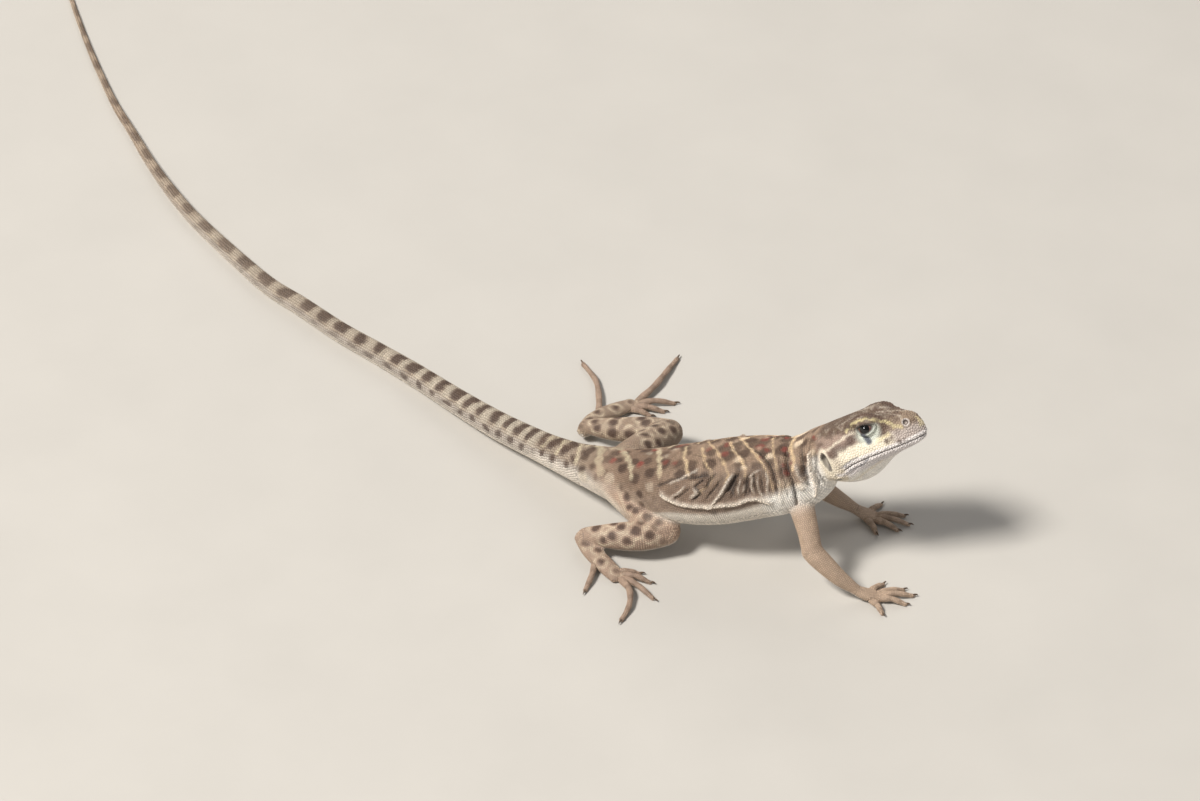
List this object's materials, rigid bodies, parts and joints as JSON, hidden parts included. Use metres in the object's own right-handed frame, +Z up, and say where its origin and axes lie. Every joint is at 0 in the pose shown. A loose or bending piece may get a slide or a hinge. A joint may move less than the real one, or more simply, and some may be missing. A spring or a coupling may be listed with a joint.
{
  "type": "long-nosed leopard lizard",
  "caption": "Life-size still model of a spotted desert lizard that stands with its head raised and its long, thin tail laid back along the floor.",
  "frame": {"origin": "centre of the bounding box's base, on the floor that the feet and tail rest on", "axes": "+Z up; +X from the hips toward the head; +Y to the animal's left, the way the tail swings back"},
  "size_m": [0.2135, 0.2539, 0.0442],
  "materials": {
    "body_skin": "matte scales",
    "head_skin": "matte scales",
    "jaw_skin": "matte scales",
    "leg_skin": "matte scales",
    "eye": "wet gloss"
  },
  "bodies": {
    "root": {"head": "head_skin", "lower_jaw": "jaw_skin", "left_eye": "eye", "right_eye": "eye", "neck": "body_skin", "torso": "body_skin", "hips": "body_skin", "tail_base": "body_skin", "tail_middle": "body_skin", "tail_rear": "body_skin", "tail_tip": "body_skin", "left_upper_arm": "leg_skin", "left_forearm": "leg_skin", "left_hand": "leg_skin", "left_thigh": "leg_skin", "left_shin": "leg_skin", "left_foot": "leg_skin", "right_upper_arm": "leg_skin", "right_forearm": "leg_skin", "right_hand": "leg_skin", "right_thigh": "leg_skin", "right_shin": "leg_skin", "right_foot": "leg_skin"}
  },
  "joints": []
}
